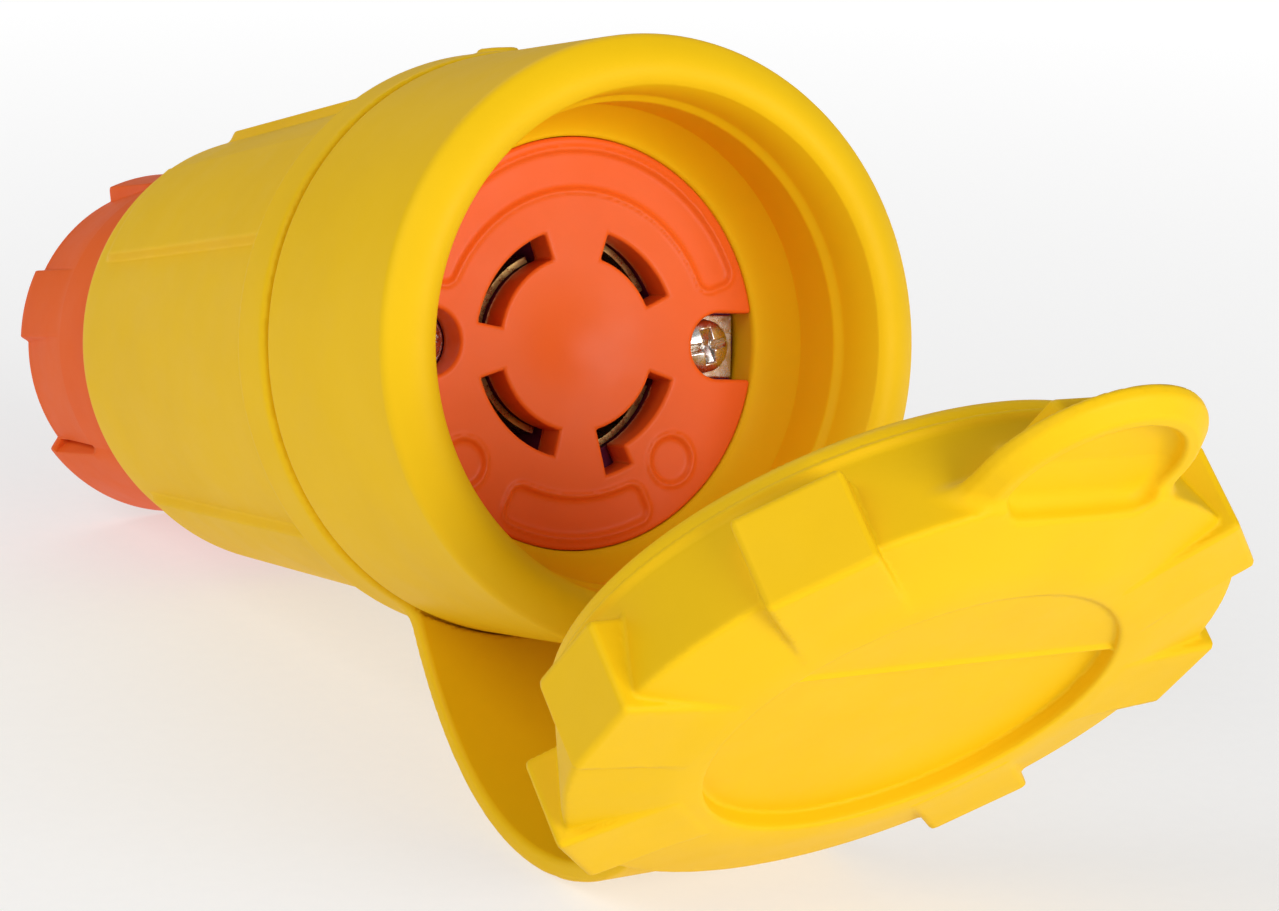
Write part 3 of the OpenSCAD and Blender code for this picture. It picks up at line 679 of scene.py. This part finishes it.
def cap_outline():
    inside = [(-6.0, UNDERSIDE, 0.0), (SPIGOT_IN, UNDERSIDE, 0.7), (SPIGOT_IN, SPIGOT_TIP, 0.5),
              (SPIGOT_OUT, SPIGOT_TIP, 0.8), (SPIGOT_OUT, UNDERSIDE, 0.7), (SKIRT_IN, UNDERSIDE, 0.7),
              (SKIRT_IN, 0.0, 0.7)]
    wall = arc((34.9, SKIRT_LIP_R), SKIRT_LIP_R, -90, 0, 8)
    wall += [(37.5, 2.6, 0.5), (37.15, 3.5, 0.5), (40.7, 15.6, 0.9)]
    roof = [(28.5, 18.4, 2.0), (14.25, 19.1, 3.0), (0.0, 19.3, 0.0), (-6.0, 19.3, 0.0)]
    return rounded(inside + wall + roof)


def tab_outline():
    """The tab seen on its face: a round nose and hollow waists that run out to the cap's edge."""
    out, down = TAB_ROOT[0] - TAB_HALF, TAB_NOSE - TAB_ROOT[1]
    r = (out * out + down * down) / (2 * out)
    turn = math.degrees(math.asin(down / r))
    waist = arc((TAB_HALF + r, TAB_NOSE), r, 180 + turn, 180, 10)
    nose = arc((0, TAB_NOSE), TAB_HALF, 0, 180, 32)
    mirrored = [(-p, q, s) for p, q, s in waist[::-1]]
    return [(p, q) for p, q, s in waist[:-1] + nose + mirrored[1:] + [(0.0, TAB_FOOT, 0.0)]]


cap_lathe = cap_outline()
tab_edge = tab_outline()


def cap_solid(x, y, z):
    r = np.hypot(x, y)
    cap = outline_distance(cap_lathe, r, z)
    lugs = np.full(x.shape, FAR)
    for a in LUG_ANGLES:
        out = x * math.cos(a) + y * math.sin(a)
        aside = y * math.cos(a) - x * math.sin(a)
        facet = (out - FACET[0]) * FACET_DIP[0] + (z - FACET[1]) * FACET_DIP[1]
        root = np.minimum(LUG_ROOT_R - out, np.maximum(LUG_ROOT_Z - z, LUG_ROOT_INNER - out))
        block = round_max(0.7, np.abs(aside) - LUG_HALF, out - LUG_REACH, LUG_START - z, facet)
        lugs = np.minimum(lugs, np.maximum(block, root))
    cap = soft_min(cap, lugs, 0.5)
    flat = outline_distance(tab_edge, x, y)
    bevel = (flat + z - TAB_TOP + TAB_BEVEL) * math.sqrt(0.5)
    tab = round_max(0.3, flat, z - TAB_TOP, bevel)
    tab = round_max(0.7, tab, TAB_LOW - z)
    end = (y - TAB_RIB_END[0]) * TAB_RIB_END_DIP[0] - (z - TAB_RIB_END[1]) * TAB_RIB_END_DIP[1]
    rib = round_max(0.9, np.abs(x) - TAB_RIB_HALF, TAB_RIB_LOW - z, end, z - TAB_RIB_TOP)
    tab = soft_min(tab, np.maximum(rib, TAB_RIB_START - y), 1.0)
    cap = soft_min(cap, tab, 1.6)
    straight = round_max(HOLLOW_CORNER, np.abs(x) - HOLLOW_HALF, HOLLOW_START - y)
    nose = np.where(y > TAB_NOSE, np.hypot(x, y - TAB_NOSE) - HOLLOW_HALF, straight)
    floor_z = HOLLOW_FLOOR + HOLLOW_SLOPE * np.maximum(0, TAB_NOSE + 2 - y)
    hollow = soft_max(nose, floor_z - z, 1.8)
    cap = soft_max(cap, -hollow, 0.7)
    step = np.clip((y - LEDGE_Y + LEDGE_RUN / 2) / LEDGE_RUN, 0, 1)
    depth = RECESS_FLOOR + LEDGE_STEP * step * step * (3 - 2 * step) + LEDGE_RISE * np.maximum(0, y - LEDGE_Y)
    depth = depth + LEDGE_BEAD * np.exp(-((y - LEDGE_Y - LEDGE_BEAD_Y) / LEDGE_BEAD_HALF) ** 2)
    recess = soft_max(r - RECESS_R, depth - z, 0.4)
    return soft_max(cap, -recess, 0.6)


cap_axes = [grid_axis((-43.0, 43.0, 0.6)),
            grid_axis((-43.0, 8.6, 0.6), (8.6, 11.4, 0.2), (11.4, 56.6, 0.6)),
            grid_axis((-3.6, 1.2, 0.8), (1.2, 4.8, 0.36), (4.8, 12.4, 0.8), (12.4, 20.2, 0.45))]
dress(skin("cap_skin", cap_solid, cap_axes, CAP), "closure_cap", "cap", "yellow_rubber")

# Contact face: four curved slots, two screw notches, bare label and badge places, and a shallow dish
SLOTS = [(110, 60), (26, 47), (198, 59), (285, 57)]
SLOT_R = 12.8
SLOT_HALF = 1.65
GROUND_LEG = (285, 13)
GROUND_REACH = 2.6
LABELS = [(20, 140), (243, 54)]
LABEL_R = 21.85
LABEL_HALF = 2.55
LABEL_CORNER = 1.7
BADGES = [(13.8, -14.6), (-16.2, -15.0)]
BADGE_R = 3.1
SCREW_X = 21.0
NOTCH_R = 4.25
FACE_R = 26.0
FACE_BACK = -5.0
SUNK_BEAD = 0.30
SUNK_BEAD_HALF = 0.42
SUNK_DEPTH = 0.32
SUNK_RUN = 0.7
DISH_DEPTH = 0.8
DISH_R = 5.5


def sector(x, y, start, sweep):
    """Distance outside a sector's two straight sides."""
    a, b = math.radians(start), math.radians(start + sweep)
    return np.maximum(x * math.sin(a) - y * math.cos(a), y * math.cos(b) - x * math.sin(b))


def sunk(edge):
    """Height over a sunk place: a low bead along its edge and a shallow floor within."""
    within = np.clip(0.5 - edge / SUNK_RUN, 0, 1)
    return SUNK_BEAD * np.exp(-(edge / SUNK_BEAD_HALF) ** 2) - SUNK_DEPTH * within


def face_solid(x, y, z):
    r = np.hypot(x, y)
    top = np.zeros(x.shape)
    for start, sweep in LABELS:
        edge = round_max(LABEL_CORNER, np.abs(r - LABEL_R) - LABEL_HALF, sector(x, y, start, sweep))
        top = top + sunk(edge)
    for bx, by in BADGES:
        top = top + sunk(np.hypot(x - bx, y - by) - BADGE_R)
    top = top - DISH_DEPTH * np.exp(-(r / DISH_R) ** 2)
    slots = np.full(x.shape, FAR)
    for start, sweep in SLOTS:
        slots = np.minimum(slots, np.maximum(np.abs(r - SLOT_R) - SLOT_HALF, sector(x, y, start, sweep)))
    leg = np.maximum(SLOT_R - r, r - SLOT_R - SLOT_HALF - GROUND_REACH)
    leg = np.maximum(leg, sector(x, y, *GROUND_LEG))
    slots = np.minimum(slots, leg)
    side = np.abs(x)
    notch = np.where(side > SCREW_X, np.abs(y), np.hypot(side - SCREW_X, y)) - NOTCH_R
    disc = round_max(0.5, r - FACE_R, z - top, FACE_BACK - z)
    return soft_max(soft_max(disc, -slots, 0.55), -notch, 0.6)


face_axes = [grid_axis((-26.6, 26.6, 0.38)),
             grid_axis((-26.6, 26.6, 0.38)),
             grid_axis((-5.5, -4.5, 0.5), (-4.5, -1.5, 1.0), (-1.5, 0.6, 0.22))]
dress(skin("face_skin", face_solid, face_axes, FACE), "contact_face", "body", "orange_nylon", ORANGE_FACE)

# Two pan-head screws with a slot and a cross, each on a flat washer
HEAD_R = 3.4
HEAD_LOW = -5.0
HEAD_TOP = -2.6
CROWN_R = 7.5
SHANK_R = 1.7
WASHER_R = 4.1
WASHER_REACH = 4.5
WASHER_TOP = -4.5
SCREW_TIP = -44.7
CROSS_TURN = math.radians(12.0)
CUT_HALF = 0.55
CUT_DEPTH = 1.2
ARM_HALF = 0.7
ARM_REACH = 2.2
ARM_DEPTH = 2.0
PIT_R = 1.05
PIT_DEPTH = 1.6


def screw_solid(x, y, z):
    r = np.hypot(x, y)
    crown = np.sqrt(r * r + (z - HEAD_TOP + CROWN_R) ** 2) - CROWN_R
    head = round_max(0.45, r - HEAD_R, crown, HEAD_LOW - z)
    u = np.abs(x * math.cos(CROSS_TURN) + y * math.sin(CROSS_TURN))
    v = np.abs(y * math.cos(CROSS_TURN) - x * math.sin(CROSS_TURN))
    slot = np.maximum(v - CUT_HALF, HEAD_TOP - CUT_DEPTH + 0.9 * v - z)
    deep = HEAD_TOP - ARM_DEPTH + 0.4 * v + 0.8 * u
    arms = np.maximum(np.maximum(u - ARM_HALF, v - ARM_REACH), deep - z)
    pit = np.maximum(r - PIT_R + 0.5 * (HEAD_TOP - z), HEAD_TOP - PIT_DEPTH - z)
    head = soft_max(head, -np.minimum(np.minimum(slot, arms), pit), 0.22)
    shank = np.maximum(np.maximum(r - SHANK_R, z - HEAD_LOW - 0.6), SCREW_TIP - z)
    plate = np.where(x > 0, np.maximum(np.abs(y) - WASHER_R, x - WASHER_REACH), r - WASHER_R)
    washer = round_max(0.15, plate, z - WASHER_TOP, HEAD_LOW + 0.02 - z)
    return np.minimum(np.minimum(head, washer), shank)


screw_axes = [grid_axis((-4.4, 4.9, 0.16)),
              grid_axis((-4.4, 4.4, 0.16)),
              grid_axis((-45.0, -5.4, 3.3), (-5.4, -2.2, 0.16))]
for turn in (0, math.pi):
    seat = FACE @ Matrix.Rotation(turn, 4, "Z") @ Matrix.Translation((SCREW_X, 0, 0))
    dress(skin("screw_skin", screw_solid, screw_axes, seat), "assembly_screws", "body", "nickel")

# Floor, light and camera
FLOOR_REACH = 3.0
FLOOR_DARK = (0.42, 0.42, 0.42)
FLOOR_LIGHT = (0.43, 0.43, 0.43)
# The floor's own light grows between these distances from its middle, in metres
GLOW_ENDS = (0.10, 0.75)
GLOW = (0.55, 0.86)
SKY = 0.24
MIDDLE = (0, -0.03, 0.05)


def floor():
    corners = [(-FLOOR_REACH, -FLOOR_REACH, 0), (FLOOR_REACH, -FLOOR_REACH, 0),
               (FLOOR_REACH, FLOOR_REACH, 0), (-FLOOR_REACH, FLOOR_REACH, 0)]
    piece = new_piece("floor", corners, [(0, 1, 2, 3)], Matrix.Identity(4))
    mat, nodes, links, bsdf, place = shader("floor_paper")
    tone = noise(nodes, links, place, scale=400, detail=2)
    stops = [(NOISE_LOW, FLOOR_DARK), (NOISE_HIGH, FLOOR_LIGHT)]
    links.new(colour_ramp(nodes, links, tone, stops), bsdf.inputs["Base Color"])
    bsdf.inputs["Roughness"].default_value = 0.9
    bsdf.inputs["Specular IOR Level"].default_value = 0.1
    bsdf.inputs["Emission Color"].default_value = (1, 1, 1, 1)
    reach = nodes.new("ShaderNodeVectorMath")
    reach.operation = "LENGTH"
    links.new(place, reach.inputs[0])
    glow = nodes.new("ShaderNodeMapRange")
    glow.inputs["From Min"].default_value, glow.inputs["From Max"].default_value = GLOW_ENDS
    glow.inputs["To Min"].default_value, glow.inputs["To Max"].default_value = GLOW
    links.new(reach.outputs["Value"], glow.inputs["Value"])
    links.new(glow.outputs["Result"], bsdf.inputs["Emission Strength"])
    piece.data.materials.append(mat)


def softbox(name, place, size, power):
    """A flat rectangular light that looks at the middle of the object."""
    light = bpy.data.lights.new(name, "AREA")
    light.shape = "RECTANGLE"
    light.size, light.size_y = size
    light.energy = power
    lamp = bpy.data.objects.new(name, light)
    lamp.location = place
    lamp.rotation_euler = (Vector(MIDDLE) - Vector(place)).to_track_quat("-Z", "Y").to_euler()
    bpy.context.scene.collection.objects.link(lamp)


def studio():
    world = bpy.data.worlds.new("studio")
    world.use_nodes = True
    sky = world.node_tree.nodes["Background"]
    sky.inputs["Color"].default_value = (1, 1, 1, 1)
    sky.inputs["Strength"].default_value = SKY
    bpy.context.scene.world = world
    softbox("key", place=(0.20, -1.1, 0.36), size=(0.8, 0.45), power=8.6)
    softbox("fill", place=(-0.85, -0.2, 0.72), size=(0.9, 0.6), power=4.6)
    softbox("back", place=(0.1, 0.9, 0.75), size=(0.9, 0.2), power=2.2)
    bpy.context.scene.view_settings.view_transform = "Standard"


# Camera as solved against the photograph: its place and axes in the body's own axes, in mm
LENS_PIXELS = 4000
PHOTO_WIDTH = 1279
SENSOR = 36.0
EYE = Vector((-250.6, 21.5, 435.3))
EYE_RIGHT = Vector((0.8553, -0.0706, 0.5134))
EYE_UP = Vector((0.0974, 0.9949, -0.0253))


def camera():
    lens = bpy.data.cameras.new("photo_view")
    lens.sensor_width = SENSOR
    lens.lens = SENSOR * LENS_PIXELS / PHOTO_WIDTH
    lens.clip_start = 0.01
    eye = bpy.data.objects.new("photo_view", lens)
    turn = BODY.to_3x3().normalized()
    right = (turn @ EYE_RIGHT).normalized()
    back = right.cross(turn @ EYE_UP).normalized()
    up = back.cross(right)
    eye.matrix_world = Matrix.Translation(BODY @ EYE) @ Matrix((right, up, back)).transposed().to_4x4()
    bpy.context.scene.collection.objects.link(eye)
    bpy.context.scene.camera = eye


floor()
studio()
camera()
